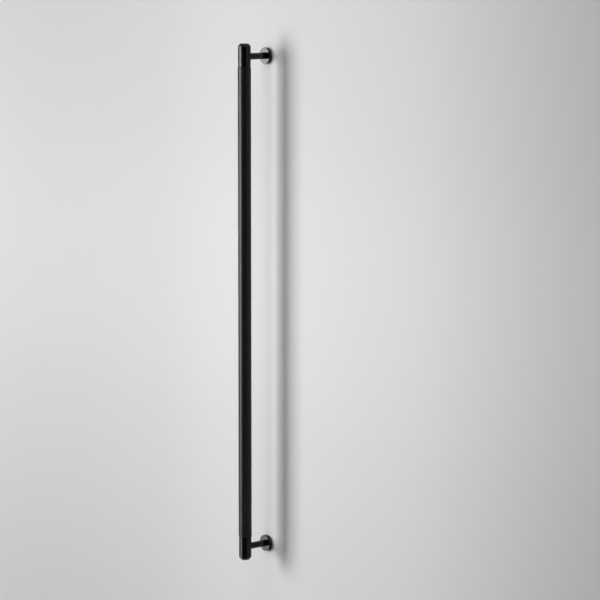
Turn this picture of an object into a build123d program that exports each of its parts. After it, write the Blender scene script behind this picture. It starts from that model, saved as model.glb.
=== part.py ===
"""Long round cabinet handle: a thick grip between two turned end sections, on two posts with rosettes.

Millimetres. The door's face is the plane Y = 0, and the bar stands upright in front of it, along Z, at
negative Y. The origin is on the door's face, half way between the two fixing centres. The screws that
hold the handle come through the door towards -Y, on the lines X = 0, Z = +300 and X = 0, Z = -300.
"""
from build123d import *
from math import radians, sqrt, tan
import os

os.makedirs("parts", exist_ok=True)

# where the bar stands on the door
fixing_centres = 600.0
bar_axis_from_door = 34.0

# grip
grip_diameter = 16.0
grip_end_from_fixing = 13.0
grip_end_chamfer = 0.5

# end sections
end_diameter = 15.2
end_face_from_fixing = 15.5
end_chamfer_width = 2.5
end_chamfer_length = 3.0
end_inner_chamfer = 0.3

# headless screws that join the grip to the end sections
joining_diameter = 8.0
joining_in_grip = 18.5
joining_in_end = 6.5
joining_chamfer = 0.9
joining_socket_flats = 4.0
joining_socket_depth = 4.0

# posts, each with a threaded spigot on the bar's side. The recess wall is measured where it is
# lowest, at the flanks of the end section.
post_diameter = 8.0
post_recess_wall = 0.4
post_chamfer = 0.3
spigot_diameter = 5.0
spigot_length = 7.5
spigot_chamfer = 0.6

# tapped hole in each post's foot, for the screw that comes through the door
fixing_hole_diameter = 3.3
fixing_hole_depth = 12.0
fixing_hole_countersink = 0.4

# rosettes
rosette_diameter = 20.0
rosette_thickness = 4.0
rosette_recess = 1.0
rosette_screw_hole = 4.3
rosette_chamfer = 0.35

# fits
thread_clearance = 0.05
post_clearance = 0.05
tapped_hole_spare = 0.5
drill_point_angle = 118.0

# places and sizes that follow
axis_y = -bar_axis_from_door
fixing_z = fixing_centres / 2
grip_z = fixing_z - grip_end_from_fixing
end_z = fixing_z + end_face_from_fixing
grip_radius = grip_diameter / 2
end_radius = end_diameter / 2
post_radius = post_diameter / 2
spigot_radius = spigot_diameter / 2
fixing_hole_radius = fixing_hole_diameter / 2
joining_hole_radius = joining_diameter / 2 + thread_clearance
spigot_hole_radius = spigot_radius + thread_clearance
post_hole_radius = post_radius + post_clearance
post_seat_from_axis = sqrt(end_radius**2 - post_hole_radius**2) - post_recess_wall
post_recess_in_end = end_radius - post_seat_from_axis
seat_y = axis_y + post_seat_from_axis
foot_y = rosette_recess - rosette_thickness
drill_slope = tan(radians(drill_point_angle / 2))
bar_axis = Axis((0, axis_y, 0), (0, 0, 1))
bar_section = Plane((0, axis_y, 0), x_dir=(1, 0, 0), z_dir=(0, -1, 0))
post_axis = Axis((0, 0, fixing_z), (0, 1, 0))
post_section = Plane.XY.offset(fixing_z)

# The grip is one solid turned bar, drilled and tapped on its axis at both ends. Its outside here is
# the crests of the fine pattern rolled into it.
grip_hole_z = grip_z - joining_in_grip - tapped_hole_spare
grip_hole_tip = grip_hole_z - joining_hole_radius / drill_slope
with BuildPart() as grip:
    with BuildSketch(bar_section):
        with BuildLine():
            upper_half = Polyline(
                (grip_radius, 0),
                (grip_radius, grip_z - grip_end_chamfer),
                (grip_radius - grip_end_chamfer, grip_z),
                (joining_hole_radius, grip_z),
                (joining_hole_radius, grip_hole_z),
                (0, grip_hole_tip),
            )
            mirror(upper_half, about=Plane.XZ)
            Line((0, grip_hole_tip), (0, -grip_hole_tip))
        make_face()
    revolve(axis=bar_axis)
grip.part.label = "grip"
export_step(grip.part, "parts/grip.step")

# An end section is a short turned piece. Its free end has a wide chamfer, longer than it is deep. The
# other end is tapped for the joining screw. The side towards the door has a shallow round recess that
# seats the post, and a tapped hole beyond it for the post's spigot.
end_hole_z = grip_z + joining_in_end + tapped_hole_spare
spigot_hole_depth = post_recess_in_end + spigot_length + tapped_hole_spare
with BuildPart() as upper_end_section:
    with BuildSketch(bar_section):
        with BuildLine():
            Polyline(
                (0, end_z),
                (end_radius - end_chamfer_width, end_z),
                (end_radius, end_z - end_chamfer_length),
                (end_radius, grip_z + end_inner_chamfer),
                (end_radius - end_inner_chamfer, grip_z),
                (joining_hole_radius, grip_z),
                (joining_hole_radius, end_hole_z),
                (0, end_hole_z + joining_hole_radius / drill_slope),
                close=True,
            )
        make_face()
    revolve(axis=bar_axis)
    with Locations(Plane((0, axis_y + end_radius, fixing_z), z_dir=(0, 1, 0))):
        CounterBoreHole(spigot_hole_radius, post_hole_radius, post_recess_in_end, spigot_hole_depth)
    with BuildSketch(post_section):
        with BuildLine():
            Polyline(
                (0, axis_y + end_radius - spigot_hole_depth),
                (spigot_hole_radius, axis_y + end_radius - spigot_hole_depth),
                (0, axis_y + end_radius - spigot_hole_depth - spigot_hole_radius / drill_slope),
                close=True,
            )
        make_face()
    revolve(axis=post_axis, mode=Mode.SUBTRACT)
upper_end_section.part.label = "upper_end_section"
export_step(upper_end_section.part, "parts/upper_end_section.step")

# The lower end section is the same piece turned end for end.
with BuildPart() as lower_end_section:
    mirror(upper_end_section.part, about=Plane.XY)
lower_end_section.part.label = "lower_end_section"
export_step(lower_end_section.part, "parts/lower_end_section.step")

# The joining screw is headless. It is driven into the grip by the hexagon socket in its outer end, and
# then the end section is turned onto it until the two faces meet.
with BuildPart() as upper_joining_screw:
    with BuildSketch(Plane((0, axis_y, grip_z - joining_in_grip))):
        Circle(joining_diameter / 2)
    extrude(amount=joining_in_grip + joining_in_end)
    chamfer(upper_joining_screw.edges().filter_by(GeomType.CIRCLE), joining_chamfer)
    with BuildSketch(Plane((0, axis_y, grip_z + joining_in_end))):
        RegularPolygon(joining_socket_flats / 2, 6, major_radius=False)
    extrude(amount=-joining_socket_depth, mode=Mode.SUBTRACT)
upper_joining_screw.part.label = "upper_joining_screw"
export_step(upper_joining_screw.part, "parts/upper_joining_screw.step")

with BuildPart() as lower_joining_screw:
    mirror(upper_joining_screw.part, about=Plane.XY)
lower_joining_screw.part.label = "lower_joining_screw"
export_step(lower_joining_screw.part, "parts/lower_joining_screw.step")

# A post is turned in one piece with its spigot. Its shoulder seats in the end section's recess, and its
# foot stands in the rosette's recess. The foot is drilled and tapped.
fixing_hole_y = foot_y - fixing_hole_depth
with BuildPart() as upper_post:
    with BuildSketch(post_section):
        with BuildLine():
            Polyline(
                (0, seat_y - spigot_length),
                (spigot_radius - spigot_chamfer, seat_y - spigot_length),
                (spigot_radius, seat_y - spigot_length + spigot_chamfer),
                (spigot_radius, seat_y),
                (post_radius - post_chamfer, seat_y),
                (post_radius, seat_y + post_chamfer),
                (post_radius, foot_y - post_chamfer),
                (post_radius - post_chamfer, foot_y),
                (fixing_hole_radius + fixing_hole_countersink, foot_y),
                (fixing_hole_radius, foot_y - fixing_hole_countersink),
                (fixing_hole_radius, fixing_hole_y),
                (0, fixing_hole_y - fixing_hole_radius / drill_slope),
                close=True,
            )
        make_face()
    revolve(axis=post_axis)
upper_post.part.label = "upper_post"
export_step(upper_post.part, "parts/upper_post.step")

with BuildPart() as lower_post:
    mirror(upper_post.part, about=Plane.XY)
lower_post.part.label = "lower_post"
export_step(lower_post.part, "parts/lower_post.step")

# A rosette is a flat turned plate between the post and the door. A shallow recess in its front keeps
# the post's foot central, and the door's screw passes through the smaller hole.
with BuildPart() as upper_rosette:
    with BuildSketch(Plane((0, -rosette_thickness, fixing_z), z_dir=(0, 1, 0))):
        Circle(rosette_diameter / 2)
    extrude(amount=rosette_thickness)
    chamfer(upper_rosette.edges().filter_by(GeomType.CIRCLE), rosette_chamfer)
    with Locations(Plane((0, -rosette_thickness, fixing_z), z_dir=(0, -1, 0))):
        CounterBoreHole(rosette_screw_hole / 2, post_hole_radius, rosette_recess)
upper_rosette.part.label = "upper_rosette"
export_step(upper_rosette.part, "parts/upper_rosette.step")

with BuildPart() as lower_rosette:
    mirror(upper_rosette.part, about=Plane.XY)
lower_rosette.part.label = "lower_rosette"
export_step(lower_rosette.part, "parts/lower_rosette.step")
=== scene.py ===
"""Looks for the long black cabinet handle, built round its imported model. Metres, in the model's frame."""

import math

import bmesh
import bpy
from mathutils import Matrix, Vector


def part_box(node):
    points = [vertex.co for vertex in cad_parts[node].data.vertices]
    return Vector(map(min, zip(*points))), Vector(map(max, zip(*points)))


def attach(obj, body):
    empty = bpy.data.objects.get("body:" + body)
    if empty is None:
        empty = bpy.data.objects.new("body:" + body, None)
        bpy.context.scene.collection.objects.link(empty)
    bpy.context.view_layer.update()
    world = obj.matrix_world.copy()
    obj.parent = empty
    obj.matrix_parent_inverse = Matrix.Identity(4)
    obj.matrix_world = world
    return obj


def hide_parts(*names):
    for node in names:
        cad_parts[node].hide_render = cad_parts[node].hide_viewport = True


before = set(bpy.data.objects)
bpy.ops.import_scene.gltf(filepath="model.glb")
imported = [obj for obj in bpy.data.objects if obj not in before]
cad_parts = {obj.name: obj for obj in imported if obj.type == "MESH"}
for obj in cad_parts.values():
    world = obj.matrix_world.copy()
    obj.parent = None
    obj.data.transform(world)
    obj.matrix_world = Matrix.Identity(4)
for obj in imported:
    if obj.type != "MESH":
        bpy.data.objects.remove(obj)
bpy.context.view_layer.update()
scene = bpy.context.scene

# The photograph is taken from the right of the handle and from a little above its upper end, with a
# long lens. The bar stands left of the middle of the frame.
camera_place = (2.3798, -1.8521, 0.4645)
camera_turn = math.radians(51.344)
camera_down = math.radians(8.695)
camera_roll = math.radians(0.088)
camera_data = bpy.data.cameras.new("camera")
camera_data.sensor_width = 36.0
camera_data.lens = 150.26
camera_data.clip_start = 0.05
camera_data.clip_end = 60.0
camera = bpy.data.objects.new("camera", camera_data)
camera.matrix_world = (Matrix.Translation(camera_place)
                       @ Matrix.Rotation(camera_turn, 4, "Z")
                       @ Matrix.Rotation(math.radians(90) - camera_down, 4, "X")
                       @ Matrix.Rotation(camera_roll, 4, "Z"))
scene.collection.objects.link(camera)
scene.camera = camera

# The handle is fixed to a plain pale upright panel: one large sheet just behind the rosettes. Its colour
# is darkened towards its sides, top and foot as painted shade, standing in for light that falls off there.
# From behind it is clear, and it is open behind each rosette, so that the backs can be seen.
wall_gap = 0.0003
wall_half_width = 1.2
wall_half_height = 2.1
wall_middle_height = 0.5
wall_opening_radius = 0.0088
fixing_from_middle = 0.3
wall_colour = (0.965, 0.965, 0.96, 1)
# Painted shade: the share of the wall colour kept at each place across and up the wall.
wall_painted_shade_reach = 0.8
wall_painted_shade_across = ((-0.50, 0.70), (-0.22, 0.83), (-0.05, 1.0), (0.17, 1.0), (0.34, 1.0), (0.62, 0.69))
wall_painted_shade_up = ((-0.50, 0.77), (-0.15, 0.96), (0.05, 1.0), (0.20, 0.94), (0.45, 0.835))


def flat_sheet(half_width, half_depth):
    bm = bmesh.new()
    bmesh.ops.create_grid(bm, x_segments=1, y_segments=1, size=1.0)
    bmesh.ops.scale(bm, vec=(half_width, half_depth, 1.0), verts=bm.verts)
    return bm


def object_from(name, bm):
    mesh = bpy.data.meshes.new(name)
    bm.to_mesh(mesh)
    bm.free()
    made = bpy.data.objects.new(name, mesh)
    scene.collection.objects.link(made)
    return made


def worked_out(tree, kind, first, second=None, clamp=False):
    step = tree.nodes.new("ShaderNodeMath")
    step.operation = kind
    step.use_clamp = clamp
    for socket, value in zip(step.inputs, (first, second)):
        if isinstance(value, (int, float)):
            socket.default_value = value
        elif value is not None:
            tree.links.new(value, socket)
    return step.outputs[0]


def distance_from(tree, first, second, first_centre, second_centre):
    a = worked_out(tree, "SUBTRACT", first, first_centre)
    b = worked_out(tree, "SUBTRACT", second, second_centre)
    return worked_out(tree, "SQRT", worked_out(tree, "ADD", worked_out(tree, "MULTIPLY", a, a),
                                               worked_out(tree, "MULTIPLY", b, b)))


def mixed(tree, share, first, second):
    mix = tree.nodes.new("ShaderNodeMix")
    mix.data_type = "RGBA"
    tree.links.new(share, mix.inputs["Factor"])
    for socket, colour in ((mix.inputs["A"], first), (mix.inputs["B"], second)):
        if isinstance(colour, tuple):
            socket.default_value = colour
        else:
            tree.links.new(colour, socket)
    return mix.outputs["Result"]


def surface_either(tree, output_kind, share, first, second):
    choose = tree.nodes.new("ShaderNodeMixShader")
    out = tree.nodes.new(output_kind)
    tree.links.new(share, choose.inputs["Fac"])
    tree.links.new(first.outputs[0], choose.inputs[1])
    tree.links.new(second.outputs[0], choose.inputs[2])
    tree.links.new(choose.outputs[0], out.inputs["Surface"])


wall_bm = flat_sheet(wall_half_width, wall_half_height)
bmesh.ops.rotate(wall_bm, matrix=Matrix.Rotation(math.radians(90), 3, "X"), verts=wall_bm.verts)
bmesh.ops.translate(wall_bm, vec=(0, wall_gap, wall_middle_height), verts=wall_bm.verts)
wall = object_from("wall", wall_bm)

wall_paint = bpy.data.materials.new("pale wall with painted shade")
wall_paint.use_nodes = True
tree = wall_paint.node_tree
tree.nodes.clear()
axes = tree.nodes.new("ShaderNodeSeparateXYZ")
tree.links.new(tree.nodes.new("ShaderNodeTexCoord").outputs["Object"], axes.inputs[0])
from_fixing = distance_from(tree, axes.outputs["X"], worked_out(tree, "ABSOLUTE", axes.outputs["Z"]),
                            0.0, fixing_from_middle)
behind = tree.nodes.new("ShaderNodeNewGeometry").outputs["Backfacing"]
see_through = worked_out(tree, "MAXIMUM",
                         worked_out(tree, "LESS_THAN", from_fixing, wall_opening_radius), behind)
# The two ramps are painted shade. They darken the wall colour towards its sides, top and foot.
painted_shades = []
for axis, stops in (("X", wall_painted_shade_across), ("Z", wall_painted_shade_up)):
    share = tree.nodes.new("ShaderNodeMapRange")
    share.inputs["From Min"].default_value = -wall_painted_shade_reach
    share.inputs["From Max"].default_value = wall_painted_shade_reach
    painted_shade_ramp = tree.nodes.new("ShaderNodeValToRGB")
    painted_shade_ramp.color_ramp.interpolation = "B_SPLINE"
    while len(painted_shade_ramp.color_ramp.elements) < len(stops):
        painted_shade_ramp.color_ramp.elements.new(0.5)
    for stop, (where, light) in zip(painted_shade_ramp.color_ramp.elements, stops):
        stop.position = (where + wall_painted_shade_reach) / (2 * wall_painted_shade_reach)
        stop.color = (light, light, light, 1)
    tree.links.new(axes.outputs[axis], share.inputs["Value"])
    tree.links.new(share.outputs["Result"], painted_shade_ramp.inputs["Fac"])
    painted_shades.append(painted_shade_ramp.outputs["Color"])
matt = tree.nodes.new("ShaderNodeBsdfDiffuse")
tree.links.new(mixed(tree, worked_out(tree, "MULTIPLY", *painted_shades), (0, 0, 0, 1), wall_colour),
               matt.inputs["Color"])
surface_either(tree, "ShaderNodeOutputMaterial", see_through, matt,
               tree.nodes.new("ShaderNodeBsdfTransparent"))
wall.data.materials.append(wall_paint)

# The floor is plain and pale, well below the handle, and runs out from the foot of the wall.
floor_half_depth = 0.7


def plain_paint(name, colour, roughness):
    paint = bpy.data.materials.new(name)
    paint.use_nodes = True
    shader = paint.node_tree.nodes["Principled BSDF"]
    shader.inputs["Base Color"].default_value = colour
    shader.inputs["Roughness"].default_value = roughness
    return paint


floor_bm = flat_sheet(wall_half_width, floor_half_depth)
bmesh.ops.translate(floor_bm, vec=(0, -floor_half_depth, wall_middle_height - wall_half_height),
                    verts=floor_bm.verts)
floor = object_from("floor", floor_bm)
floor.data.materials.append(plain_paint("pale floor", (0.7, 0.69, 0.68, 1), 0.8))

# A black flag hangs round the front of the room, out of the picture, and is seen only in the gloss of
# the coat, which shows a dark room between the lamps.
flag_radius = 3.5
flag_foot = -1.55
flag_tall = 4.5
flag_from_wall = 0.1


def verts_in(parts):
    return [part for part in parts if isinstance(part, bmesh.types.BMVert)]


def edges_in(parts):
    return [part for part in parts if isinstance(part, bmesh.types.BMEdge)]


def all_of(bm):
    return bm.verts[:] + bm.edges[:] + bm.faces[:]


flag_bm = bmesh.new()
bmesh.ops.create_circle(flag_bm, segments=32, radius=flag_radius, cap_ends=False,
                        matrix=Matrix.Translation((0, 0, flag_foot)))
rim = bmesh.ops.extrude_edge_only(flag_bm, edges=flag_bm.edges[:])["geom"]
bmesh.ops.translate(flag_bm, vec=(0, 0, flag_tall), verts=verts_in(rim))
bmesh.ops.bisect_plane(flag_bm, geom=all_of(flag_bm), plane_co=(0, -flag_from_wall, 0),
                       plane_no=(0, 1, 0), clear_outer=True)
flag = object_from("dark_flag", flag_bm)
flag.visible_camera = False
flag.visible_shadow = False
flag.visible_diffuse = False
flag.data.materials.append(plain_paint("dark cloth", (0.02, 0.02, 0.02, 1), 0.9))

# Two soft boxes far round to the left light the wall and throw the shadow of the bar to the right.
# They don't show in the gloss of the coat. Two weaker ones in front soften the shadow and show faintly
# in the gloss, and a wide one hangs overhead.
lamp_distance = 2.9


def soft_box(name, turn, height, width, tall, radiance, distance=lamp_distance, upright=True):
    lamp = bpy.data.lights.new(name, "AREA")
    lamp.shape = "RECTANGLE"
    lamp.size = width
    lamp.size_y = tall
    lamp.energy = radiance * math.pi * width * tall
    lamp_object = bpy.data.objects.new(name, lamp)
    turn = math.radians(turn)
    away = Vector((math.sin(turn) * distance, -math.cos(turn) * distance, height))
    lamp_object.location = away
    facing = away * Vector((1, 1, 0)) if upright else away
    lamp_object.rotation_euler = facing.to_track_quat("Z", "Y").to_euler()
    lamp_object.visible_camera = False
    scene.collection.objects.link(lamp_object)
    return lamp_object


soft_box("key_upper", turn=-46.5, height=0.4, width=1.15, tall=1.4,
         radiance=12.1).visible_glossy = False
soft_box("key_lower", turn=-46.5, height=-0.75, width=1.15, tall=0.9,
         radiance=5.7).visible_glossy = False
soft_box("fill_top", turn=-4, height=-0.05, width=1.2, tall=0.45, radiance=2.6)
soft_box("fill_foot", turn=-15, height=-0.95, width=1.0, tall=0.45, radiance=0.8)
soft_box("overhead", turn=10, height=2.2, width=1.6, tall=1.0, radiance=3.0, distance=1.2,
         upright=False).visible_glossy = False

# Two more pairs show only in the gloss of the coat. One is nearer to the camera and makes the stripe of
# light along the bar, and one is further round and is mirrored in the faces of the rosettes.
for name, turn, width, height, tall, radiance in (
        ("stripe_upper", -27, 1.2, 0.20, 1.9, 15.5), ("stripe_lower", -27, 1.2, -1.0, 0.5, 6.4),
        ("mirror_upper", -51.5, 0.42, 0.30, 1.6, 12.0), ("mirror_lower", -51.5, 0.42, -0.85, 0.7, 4.8)):
    soft_box(name, turn=turn, height=height, width=width, tall=tall,
             radiance=radiance).visible_diffuse = False

# The room round the handle looks pale wherever the flag doesn't hide it, and adds only a little light
# of its own.
world = bpy.data.worlds.new("room")
world.use_nodes = True
scene.world = world
tree = world.node_tree
tree.nodes.clear()
pale = tree.nodes.new("ShaderNodeBackground")
pale.inputs["Color"].default_value = (0.72, 0.72, 0.715, 1)
dim = tree.nodes.new("ShaderNodeBackground")
dim.inputs["Color"].default_value = (0.04, 0.04, 0.04, 1)
rays = tree.nodes.new("ShaderNodeLightPath").outputs
seen = worked_out(tree, "MAXIMUM", rays["Is Camera Ray"], rays["Is Glossy Ray"])
surface_either(tree, "ShaderNodeOutputWorld",
               worked_out(tree, "MAXIMUM", seen, rays["Is Transmission Ray"]), dim, pale)

scene.view_settings.view_transform = "Standard"

# The grip is one long round bar of mild steel. Its middle is rolled with a fine diamond pattern, flat
# diamonds between narrow grooves, and each end is faced, chamfered and drilled for the screw that
# joins it to its end section. The whole bar is then coated black.
grip_low, grip_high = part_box("grip")
bar_axis = (grip_low.y + grip_high.y) / 2
diamonds_around = 36
diamond_top_radius = 0.0080
groove_depth = 0.00016
diamond_slope_width = 0.00020
grip_chamfer = 0.0005
grip_hole_radius = 0.00405
grip_hole_depth = 0.019
grip_drill_point = 0.00243
rows_in_band = 24
weld_distance = 1e-6
top_tolerance = 0.00002


def finished_piece(name, bm, node, paint, crease_from=math.radians(30)):
    bmesh.ops.recalc_face_normals(bm, faces=bm.faces)
    piece = object_from(name, bm)
    if crease_from is not None:
        piece.data.shade_smooth()
        piece.data.set_sharp_from_angle(angle=crease_from)
    piece.data.materials.append(paint)
    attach(piece, "root")
    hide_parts(node)
    return piece


def drawn_ring(bm, ring, radius, height):
    drawn = bmesh.ops.extrude_edge_only(bm, edges=ring)["geom"]
    for vert in verts_in(drawn):
        spoke = Vector((vert.co.x, vert.co.y, 0)).normalized() * radius
        vert.co = (spoke.x, spoke.y, height)
    return edges_in(drawn)


def drilled_point(bm, ring, height):
    drawn = bmesh.ops.extrude_edge_only(bm, edges=ring)["geom"]
    bmesh.ops.pointmerge(bm, verts=verts_in(drawn), merge_co=(0, 0, height))


half_turn = math.pi / diamonds_around
diamond_tall = 2 * half_turn * diamond_top_radius * math.sqrt(3)
groove_radius = diamond_top_radius - groove_depth
bands = math.ceil((grip_high.z - grip_low.z) / (diamond_tall / 2) / rows_in_band)
grip_bm = bmesh.new()
corners = []
for turn, rise in ((0, -0.5), (half_turn, 0), (0, 0.5), (-half_turn, 0)):
    corners.append(grip_bm.verts.new((groove_radius * math.cos(turn), groove_radius * math.sin(turn),
                                      rise * diamond_tall)))
diamond = grip_bm.faces.new(corners)
grip_bm.normal_update()
bmesh.ops.inset_individual(grip_bm, faces=[diamond], thickness=diamond_slope_width, depth=0)
bmesh.ops.translate(grip_bm, vec=(groove_depth, 0, 0), verts=diamond.verts)
bmesh.ops.spin(grip_bm, geom=all_of(grip_bm), cent=(0, 0, 0), axis=(0, 0, 1), dvec=(0, 0, 0),
               angle=2 * half_turn * (diamonds_around - 1), steps=diamonds_around - 1,
               use_duplicate=True)
bmesh.ops.translate(grip_bm, vec=(0, 0, grip_low.z), verts=grip_bm.verts)
for rows, repeats in ((1, rows_in_band - 1), (rows_in_band, bands - 1)):
    bmesh.ops.spin(grip_bm, geom=all_of(grip_bm), cent=(0, 0, 0), axis=(0, 0, 1),
                   dvec=(0, 0, rows * diamond_tall / 2), angle=half_turn * rows * repeats,
                   steps=repeats, use_duplicate=True)
bmesh.ops.remove_doubles(grip_bm, verts=grip_bm.verts, dist=weld_distance)
for side in (1, -1):
    bmesh.ops.bisect_plane(grip_bm, geom=all_of(grip_bm), plane_no=(0, 0, side), clear_outer=True,
                           plane_co=(0, 0, side * (grip_high.z - grip_chamfer)))
    ring = [edge for edge in grip_bm.edges if edge.is_boundary and edge.verts[0].co.z * side > 0]
    for radius, back in ((diamond_top_radius - grip_chamfer, 0), (grip_hole_radius, 0),
                         (grip_hole_radius, grip_hole_depth)):
        ring = drawn_ring(grip_bm, ring, radius, side * (grip_high.z - back))
    drilled_point(grip_bm, ring, side * (grip_high.z - grip_hole_depth - grip_drill_point))
bmesh.ops.translate(grip_bm, vec=(0, bar_axis, 0), verts=grip_bm.verts)


# The black coat has a fine grain, a slow change of shade and gloss from one place to the next, and a
# little burnishing where edges are handled. These groups are shared by all the coated pieces. Their
# scales are features to the metre.
fine_grain_scale = 9000
coarse_grain_scale = 2200
slow_change_scale = 60
tool_mark_scale = 7000
tool_feed_scale = 1800
wear_break_scale = 1500
least_wear = 0.35
burnish_gloss = 0.08
darker_tint = (0.7, 0.7, 0.72)
lighter_tint = (1.3, 1.3, 1.33)
worn_tint = (1.0, 1.0, 1.02)


def new_group(name, inputs, output_names):
    group = bpy.data.node_groups.new(name, "ShaderNodeTree")
    for label, kind in inputs:
        group.interface.new_socket(label, in_out="INPUT", socket_type=kind)
    for label in output_names:
        group.interface.new_socket(label, in_out="OUTPUT", socket_type="NodeSocketFloat")
    return group, group.nodes.new("NodeGroupInput").outputs, group.nodes.new("NodeGroupOutput").inputs


def noise_node(tree, where, scale, detail, dimensions="3D"):
    noise = tree.nodes.new("ShaderNodeTexNoise")
    noise.noise_dimensions = dimensions
    noise.inputs["Scale"].default_value = scale
    noise.inputs["Detail"].default_value = detail
    tree.links.new(where, noise.inputs["W" if dimensions == "1D" else "Vector"])
    return noise.outputs["Fac"]


def blend(tree, first, first_share, second, second_share):
    return worked_out(tree, "ADD", worked_out(tree, "MULTIPLY", first, first_share),
                      worked_out(tree, "MULTIPLY", second, second_share))


grain, given, result = new_group("coat grain", (("Place", "NodeSocketVector"), ("Dull", "NodeSocketFloat"),
                                                ("Spread", "NodeSocketFloat")),
                                 ("Height", "Roughness", "Shade"))
fine = noise_node(grain, given["Place"], fine_grain_scale, 3)
coarse = noise_node(grain, given["Place"], coarse_grain_scale, 2)
slow = noise_node(grain, given["Place"], slow_change_scale, 4)
grain.links.new(blend(grain, fine, 0.3, coarse, 0.7), result["Height"])
uneven = blend(grain, slow, 0.6, coarse, 0.4)
swing = worked_out(grain, "MULTIPLY", worked_out(grain, "SUBTRACT", uneven, 0.5), given["Spread"])
grain.links.new(worked_out(grain, "ADD", given["Dull"], swing, clamp=True), result["Roughness"])
grain.links.new(uneven, result["Shade"])

turned, given, result = new_group("turning lines", (("Along", "NodeSocketFloat"),), ("Height",))
tool_marks = noise_node(turned, given["Along"], tool_mark_scale, 2, "1D")
tool_feed = noise_node(turned, given["Along"], tool_feed_scale, 1, "1D")
turned.links.new(blend(turned, tool_marks, 0.6, tool_feed, 0.4), result["Height"])

wear, given, result = new_group("edge wear", (("Distance", "NodeSocketFloat"), ("Width", "NodeSocketFloat"),
                                              ("Place", "NodeSocketVector")), ("Mask",))
broken = noise_node(wear, given["Place"], wear_break_scale, 3)
near = worked_out(wear, "SUBTRACT", 1.0, worked_out(wear, "DIVIDE", given["Distance"], given["Width"]),
                  clamp=True)
wear.links.new(worked_out(wear, "MULTIPLY", near, worked_out(wear, "ADD", broken, least_wear), clamp=True),
               result["Mask"])


def group_node(tree, group, **values):
    node = tree.nodes.new("ShaderNodeGroup")
    node.node_tree = group
    for label, value in values.items():
        if isinstance(value, float):
            node.inputs[label].default_value = value
        else:
            tree.links.new(value, node.inputs[label])
    return node.outputs


def new_paint(name):
    paint = bpy.data.materials.new(name)
    paint.use_nodes = True
    tree = paint.node_tree
    place = tree.nodes.new("ShaderNodeTexCoord").outputs["Object"]
    split = tree.nodes.new("ShaderNodeSeparateXYZ")
    tree.links.new(place, split.inputs[0])
    return paint, tree, tree.nodes["Principled BSDF"], place, split.outputs


def tinted(shade, tint):
    return tuple(shade * part for part in tint) + (1,)


def raised(tree, height, shader):
    bump = tree.nodes.new("ShaderNodeBump")
    bump.inputs["Distance"].default_value = 1.0
    tree.links.new(height, bump.inputs["Height"])
    tree.links.new(bump.outputs["Normal"], shader.inputs["Normal"])


# Every coat takes its place on the piece, the distance along the turned profile and the distance to
# the nearest worn edge. Shades are mottled round the given one, and worn places are a little glossier.
def black_coat(name, shade, worn_shade, dull, spread, index, grain_height, line_height, wear_width,
               measures):
    paint, tree, shader, place, split = new_paint(name)
    shader.inputs["IOR"].default_value = index
    along, to_edge = measures(tree, split["X"], split["Y"], split["Z"])
    coat = group_node(tree, grain, Place=place, Dull=dull, Spread=spread)
    rubbed = group_node(tree, wear, Place=place, Distance=to_edge, Width=wear_width)["Mask"]
    mottled = mixed(tree, coat["Shade"], tinted(shade, darker_tint), tinted(shade, lighter_tint))
    tree.links.new(mixed(tree, rubbed, mottled, tinted(worn_shade, worn_tint)), shader.inputs["Base Color"])
    polished = worked_out(tree, "MULTIPLY", rubbed, burnish_gloss)
    tree.links.new(worked_out(tree, "SUBTRACT", coat["Roughness"], polished, clamp=True),
                   shader.inputs["Roughness"])
    height = worked_out(tree, "MULTIPLY", coat["Height"], grain_height)
    if line_height:
        lines = group_node(tree, turned, Along=along)["Height"]
        height = worked_out(tree, "ADD", height, worked_out(tree, "MULTIPLY", lines, line_height))
    raised(tree, height, shader)
    return paint


# On the grip the burnished places are the flat tops of the diamonds and the rim of each end.
def grip_measures(tree, x, y, z):
    radius = distance_from(tree, x, y, 0.0, bar_axis)
    return z, worked_out(tree, "ABSOLUTE", worked_out(tree, "SUBTRACT", radius, diamond_top_radius))


grip_coat = black_coat("satin black coat on the grip", shade=0.010, worn_shade=0.014, dull=0.35, spread=0.12,
                       index=1.39, grain_height=0.000006, line_height=0, wear_width=0.00004,
                       measures=grip_measures)
grip = finished_piece("knurled_grip", grip_bm, "grip", grip_coat, crease_from=None)

# The tops of the diamonds keep the round of the bar, so their corners are shaded straight outward.
grip.data.shade_smooth()
corner_normals = []
for face in grip.data.polygons:
    spots = [grip.data.vertices[vert].co - Vector((0, bar_axis, 0)) for vert in face.vertices]
    top = all(math.hypot(spot.x, spot.y) > diamond_top_radius - top_tolerance for spot in spots)
    corner_normals += [Vector((spot.x, spot.y, 0)).normalized() if top else face.normal.copy()
                       for spot in spots]
grip.data.normals_split_custom_set(corner_normals)

# The end sections are turned from bar a little thinner than the grip. They keep the model's solid, with
# fine turning lines under a smooth coat, and are burnished along the two edges of the end chamfer.
end_low, end_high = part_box("upper_end_section")
end_radius = (end_high.x - end_low.x) / 2
end_chamfer_width = 0.0025
end_chamfer_length = 0.0030


def end_measures(tree, x, y, z):
    radius = distance_from(tree, x, y, 0.0, bar_axis)
    height = worked_out(tree, "ABSOLUTE", z)
    outer = distance_from(tree, radius, height, end_radius, end_high.z - end_chamfer_length)
    inner = distance_from(tree, radius, height, end_radius - end_chamfer_width, end_high.z)
    return worked_out(tree, "ADD", height, radius), worked_out(tree, "MINIMUM", outer, inner)


smooth_coat = {"shade": 0.005, "worn_shade": 0.012, "dull": 0.16, "spread": 0.08, "index": 1.33,
               "grain_height": 0.0000012}
end_coat = black_coat("smooth black coat on the end sections", line_height=0.0000010, wear_width=0.00018,
                      measures=end_measures, **smooth_coat)
for name in ("upper_end_section", "lower_end_section"):
    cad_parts[name].data.materials.clear()
    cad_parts[name].data.materials.append(end_coat)


# Threads are real spirals. One pitch of the profile is carried round and up by the pitch on each turn,
# cut square at both ends, and held inside the screw's own outline where an end is chamfered.
thread_sides = 48


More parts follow.
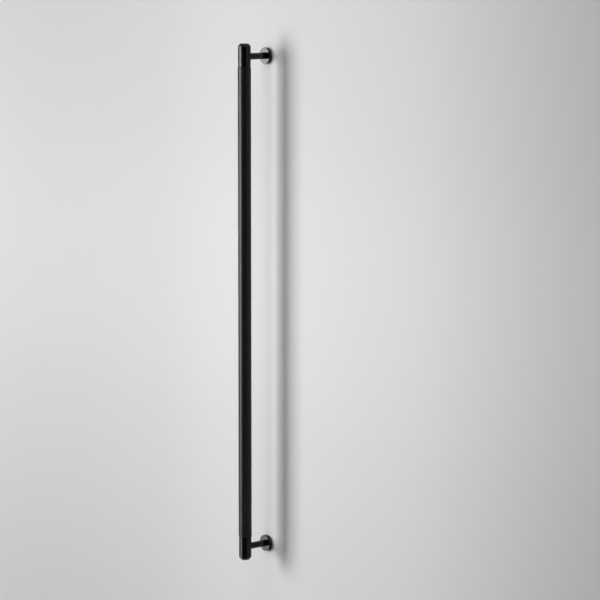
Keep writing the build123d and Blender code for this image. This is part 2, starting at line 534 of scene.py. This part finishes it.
def spiral_thread(bm, inner_radius, outer_radius, pitch, bottom, top):
    profile = [bm.verts.new((radius, 0, bottom - pitch + share * pitch))
               for radius, share in ((inner_radius, 0), (inner_radius, 0.12), (outer_radius, 0.44),
                                     (outer_radius, 0.56), (inner_radius, 0.88), (inner_radius, 1.0))]
    chain = [bm.edges.new(pair) for pair in zip(profile[:-1], profile[1:])]
    turns = math.ceil((top - bottom) / pitch) + 2
    bmesh.ops.spin(bm, geom=profile + chain, cent=(0, 0, 0), axis=(0, 0, 1), use_merge=False,
                   dvec=(0, 0, pitch / thread_sides), angle=2 * math.pi * turns, steps=thread_sides * turns)
    bmesh.ops.remove_doubles(bm, verts=bm.verts, dist=weld_distance)
    for height, side in ((top, 1), (bottom, -1)):
        bmesh.ops.bisect_plane(bm, geom=all_of(bm), plane_co=(0, 0, height), plane_no=(0, 0, side),
                               clear_outer=True)
    rings = []
    for height in (bottom, top):
        rings.append([edge for edge in bm.edges if edge.is_boundary
                      and all(abs(vert.co.z - height) < weld_distance for vert in edge.verts)])
    return rings


def held_inside(bm, widest):
    for vert in bm.verts:
        radius = math.hypot(vert.co.x, vert.co.y)
        limit = widest(vert.co.z)
        if radius > limit:
            vert.co.x *= limit / radius
            vert.co.y *= limit / radius


# The joining screws are headless, of zinc-plated steel, with a hexagon socket in the end that is driven.
# Each is turned into the grip, and the end section is turned onto it. Both have the same right-hand
# thread, so the lower one is the upper one turned over.
screw_low, screw_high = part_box("upper_joining_screw")
screw_radius = (screw_high.x - screw_low.x) / 2
screw_root = 0.00323
screw_pitch = 0.00125
screw_chamfer = 0.0009
socket_flats = 0.004
socket_depth = 0.004
socket_drill_point = 0.0006
plate_tint_scale = 400
plate_line_height = 0.000002

plate, tree, shader, place, split = new_paint("bright zinc plate")
shader.inputs["Metallic"].default_value = 1.0
tree.links.new(mixed(tree, noise_node(tree, place, plate_tint_scale, 3), (0.56, 0.57, 0.61, 1),
                     (0.66, 0.65, 0.62, 1)), shader.inputs["Base Color"])
tree.links.new(group_node(tree, grain, Place=place, Dull=0.32, Spread=0.16)["Roughness"],
               shader.inputs["Roughness"])
raised(tree, worked_out(tree, "MULTIPLY", group_node(tree, turned, Along=split["Z"])["Height"],
                        plate_line_height), shader)

length = screw_high.z - screw_low.z
for name, side in (("upper_joining_screw", 1), ("lower_joining_screw", -1)):
    bm = bmesh.new()
    foot, head = spiral_thread(bm, screw_root, screw_radius, screw_pitch, 0, length)
    held_inside(bm, lambda z: screw_radius - max(0, screw_chamfer - min(z, length - z)))
    bmesh.ops.edgeloop_fill(bm, edges=foot)
    hexagon = drawn_ring(bm, head, socket_flats / 2, length)
    for vert in {vert for edge in hexagon for vert in edge.verts}:
        turn = math.atan2(vert.co.y, vert.co.x) % math.radians(60) - math.radians(30)
        spoke = Vector((vert.co.x, vert.co.y, 0)).normalized() * (socket_flats / 2 / math.cos(turn))
        vert.co = (spoke.x, spoke.y, length)
    socket_floor = bmesh.ops.extrude_edge_only(bm, edges=hexagon)["geom"]
    bmesh.ops.translate(bm, vec=(0, 0, -socket_depth), verts=verts_in(socket_floor))
    drilled_point(bm, edges_in(socket_floor), length - socket_depth - socket_drill_point)
    bmesh.ops.translate(bm, vec=(0, 0, screw_low.z), verts=bm.verts)
    if side < 0:
        bmesh.ops.rotate(bm, matrix=Matrix.Rotation(math.pi, 3, "X"), verts=bm.verts)
    bmesh.ops.translate(bm, vec=(0, bar_axis, 0), verts=bm.verts)
    finished_piece(name + "_cut", bm, name, plate)

# A post is turned in one piece with its threaded spigot, which screws into the end section up to the
# shoulder. Its foot is drilled and tapped for the screw that comes through the door. Both posts have
# the same right-hand threads.
post_low, post_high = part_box("upper_post")
post_radius = (post_high.x - post_low.x) / 2
post_length = post_high.y - post_low.y
post_chamfer = 0.0003
spigot_length = 0.0075
spigot_radius = 0.0025
spigot_root = 0.00201
spigot_pitch = 0.0008
spigot_chamfer = 0.0006
fixing_hole_radius = 0.00165
fixing_thread_radius = 0.0020
fixing_pitch = 0.0007
fixing_hole_depth = 0.012
fixing_countersink = 0.0004
fixing_drill_point = 0.00099


def post_measures(tree, x, y, z):
    radius = distance_from(tree, x, worked_out(tree, "ABSOLUTE", z), 0.0, fixing_from_middle)
    foot = distance_from(tree, radius, y, post_radius - post_chamfer / 2, post_high.y - post_chamfer / 2)
    return worked_out(tree, "ADD", radius, y), foot


post_coat = black_coat("smooth black coat on the posts", line_height=0.0000010, wear_width=0.00018,
                       measures=post_measures, **smooth_coat)
shoulder = post_length - spigot_length
for name, side in (("upper_post", 1), ("lower_post", -1)):
    bm = bmesh.new()
    ring, tip_ring = spiral_thread(bm, spigot_root, spigot_radius, spigot_pitch, shoulder, post_length)
    held_inside(bm, lambda z: spigot_radius - max(0, spigot_chamfer - (post_length - z)))
    bmesh.ops.edgeloop_fill(bm, edges=tip_ring)
    for radius, height in ((post_radius - post_chamfer, shoulder), (post_radius, shoulder - post_chamfer),
                           (post_radius, post_chamfer), (post_radius - post_chamfer, 0),
                           (fixing_hole_radius + fixing_countersink, 0)):
        ring = drawn_ring(bm, ring, radius, height)
    tapped = bmesh.new()
    bottom = spiral_thread(tapped, fixing_hole_radius, fixing_thread_radius, fixing_pitch,
                           fixing_countersink, fixing_hole_depth)[1]
    drilled_point(tapped, bottom, fixing_hole_depth + fixing_drill_point)
    tapped_mesh = bpy.data.meshes.new("tapped hole")
    tapped.to_mesh(tapped_mesh)
    tapped.free()
    known = set(bm.edges)
    bm.from_mesh(tapped_mesh)
    bpy.data.meshes.remove(tapped_mesh)
    mouth = [edge for edge in bm.edges if edge not in known and edge.is_boundary]
    bmesh.ops.bridge_loops(bm, edges=ring + mouth)
    bmesh.ops.rotate(bm, matrix=Matrix.Rotation(math.radians(90), 3, "X"), verts=bm.verts)
    bmesh.ops.translate(bm, vec=(0, post_high.y, side * fixing_from_middle), verts=bm.verts)
    finished_piece(name + "_turned", bm, name, post_coat)

# The rosettes are flat turned plates that spread each post's load on the door. They keep the model's
# solid, with turning lines round the face under the coat, and are burnished round the rim.
rosette_low, rosette_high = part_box("upper_rosette")
rosette_radius = (rosette_high.x - rosette_low.x) / 2
rosette_chamfer = 0.00035


def rosette_measures(tree, x, y, z):
    radius = distance_from(tree, x, worked_out(tree, "ABSOLUTE", z), 0.0, fixing_from_middle)
    rim = distance_from(tree, radius, y, rosette_radius - rosette_chamfer / 2,
                        rosette_low.y + rosette_chamfer / 2)
    return worked_out(tree, "ADD", radius, y), rim


rosette_coat = black_coat("smooth black coat on the rosettes", line_height=0.0000012, wear_width=0.00022,
                          measures=rosette_measures, **smooth_coat)
for name in ("upper_rosette", "lower_rosette"):
    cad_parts[name].data.materials.clear()
    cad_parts[name].data.materials.append(rosette_coat)
